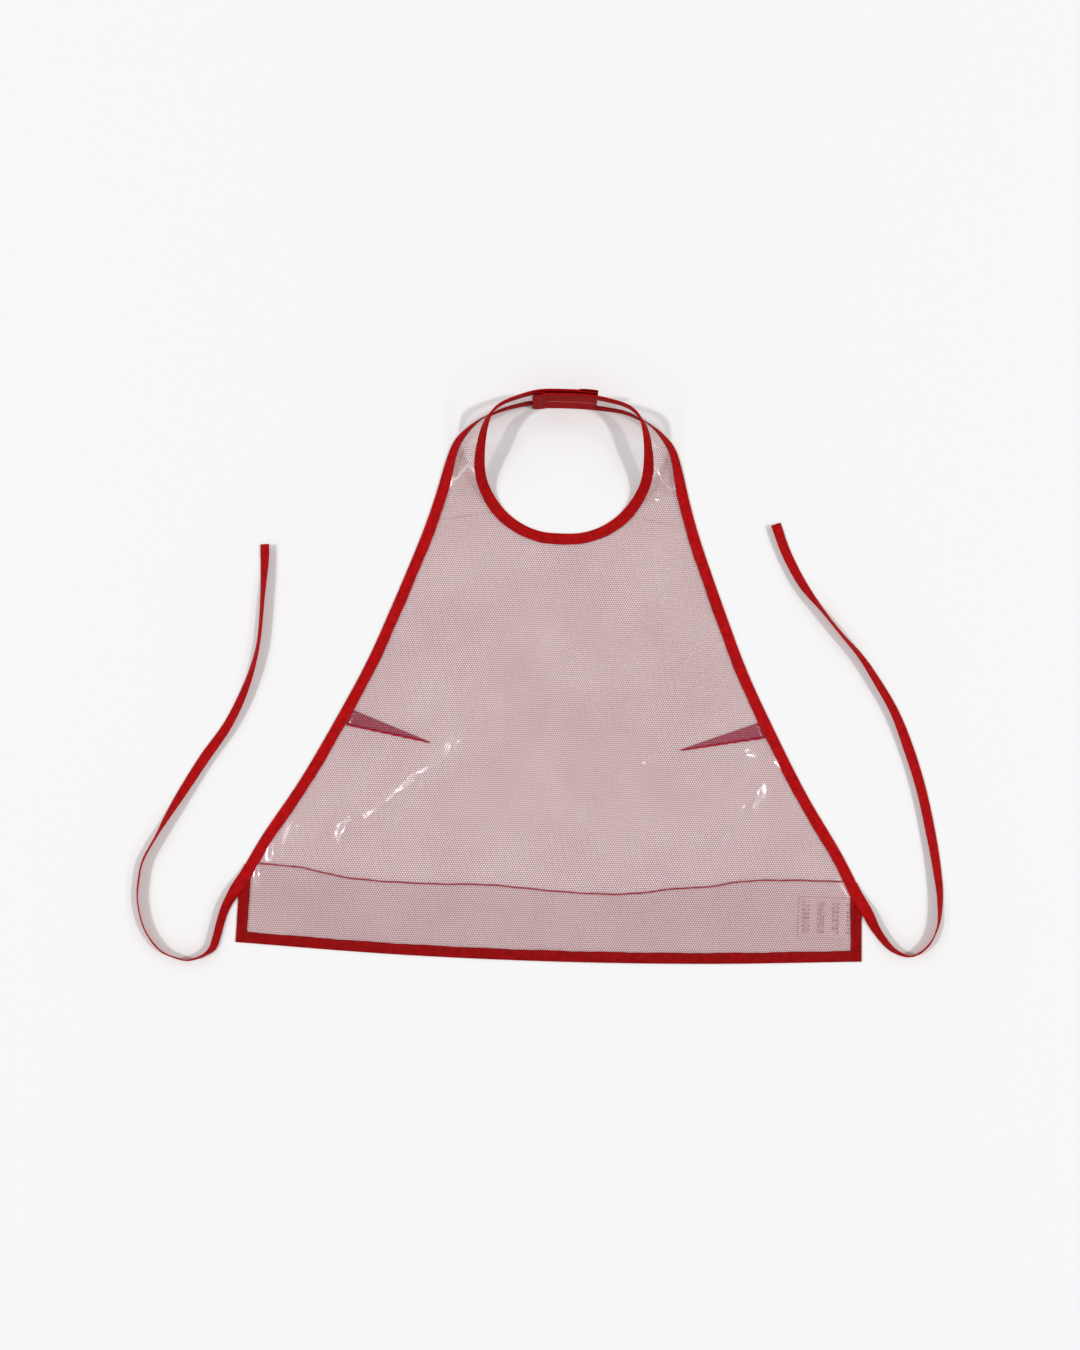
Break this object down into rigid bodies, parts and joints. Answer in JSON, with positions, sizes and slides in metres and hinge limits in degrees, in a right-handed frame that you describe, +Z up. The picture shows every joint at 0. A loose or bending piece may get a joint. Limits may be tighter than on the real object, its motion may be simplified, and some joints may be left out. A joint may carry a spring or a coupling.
{
  "type": "hair-cutting cape",
  "caption": "Clear net-vinyl hair-cutting cape of the apron kind, with red bound edges, a neck band that closes at the back, darts, a hem pocket and two waist ties.",
  "frame": {"origin": "on the surface that the cape lies on, below the middle of its outline, ties left out", "axes": "+X across the hem towards the wearer's left as seen from the front, +Y from the hem to the closure at the back of the neck, +Z up"},
  "size_m": [0.8064, 0.5772, 0.046],
  "materials": {
    "net_vinyl": "clear glossy vinyl over a fine red and white net",
    "clear_film": "clear glossy film",
    "binding_tape": "woven red binding tape",
    "red_thread": "sewing thread",
    "closure_patch": "hook-and-loop fastener",
    "label_cloth": "thin printed satin"
  },
  "bodies": {
    "cape_body": {"body_sheet": "net_vinyl", "neck_binding": "binding_tape", "hem_binding": "binding_tape", "side_binding_left": "binding_tape", "side_binding_right": "binding_tape", "dart_fold_left": "net_vinyl", "dart_stitching_left": "red_thread", "dart_fold_right": "net_vinyl", "dart_stitching_right": "red_thread", "pocket_film": "clear_film", "pocket_overlock_edge": "red_thread", "care_label": "label_cloth"},
    "left_neck_band": {"neck_band_sheet_left": "net_vinyl", "neck_band_top_binding_left": "binding_tape", "neck_band_lower_binding_left": "binding_tape", "neck_band_end_binding_left": "binding_tape", "hook_patch": "closure_patch"},
    "right_neck_band": {"neck_band_sheet_right": "net_vinyl", "neck_band_top_binding_right": "binding_tape", "neck_band_lower_binding_right": "binding_tape", "neck_band_end_binding_right": "binding_tape", "loop_patch": "closure_patch"},
    "left_tie": {"tie_left": "binding_tape", "tie_end_left": "binding_tape"},
    "right_tie": {"tie_right": "binding_tape", "tie_end_right": "binding_tape"}
  },
  "joints": [
    {"name": "neck_band_left_opens", "type": "hinge", "parent": "cape_body", "child": "left_neck_band", "pos_m": [-0.0705, 0.263, 0], "axis": [0, 0, 1], "range_deg": [0, 90]},
    {"name": "neck_band_right_opens", "type": "hinge", "parent": "cape_body", "child": "right_neck_band", "pos_m": [0.0705, 0.263, 0], "axis": [0, 0, 1], "range_deg": [0, 60]},
    {"name": "tie_left_swings", "type": "hinge", "parent": "cape_body", "child": "left_tie", "pos_m": [-0.3111, -0.2022, 0], "axis": [0, 0, 1], "range_deg": [-20, 10]},
    {"name": "tie_right_swings", "type": "hinge", "parent": "cape_body", "child": "right_tie", "pos_m": [0.3111, -0.2022, 0], "axis": [0, 0, 1], "range_deg": [-5, 11]}
  ]
}
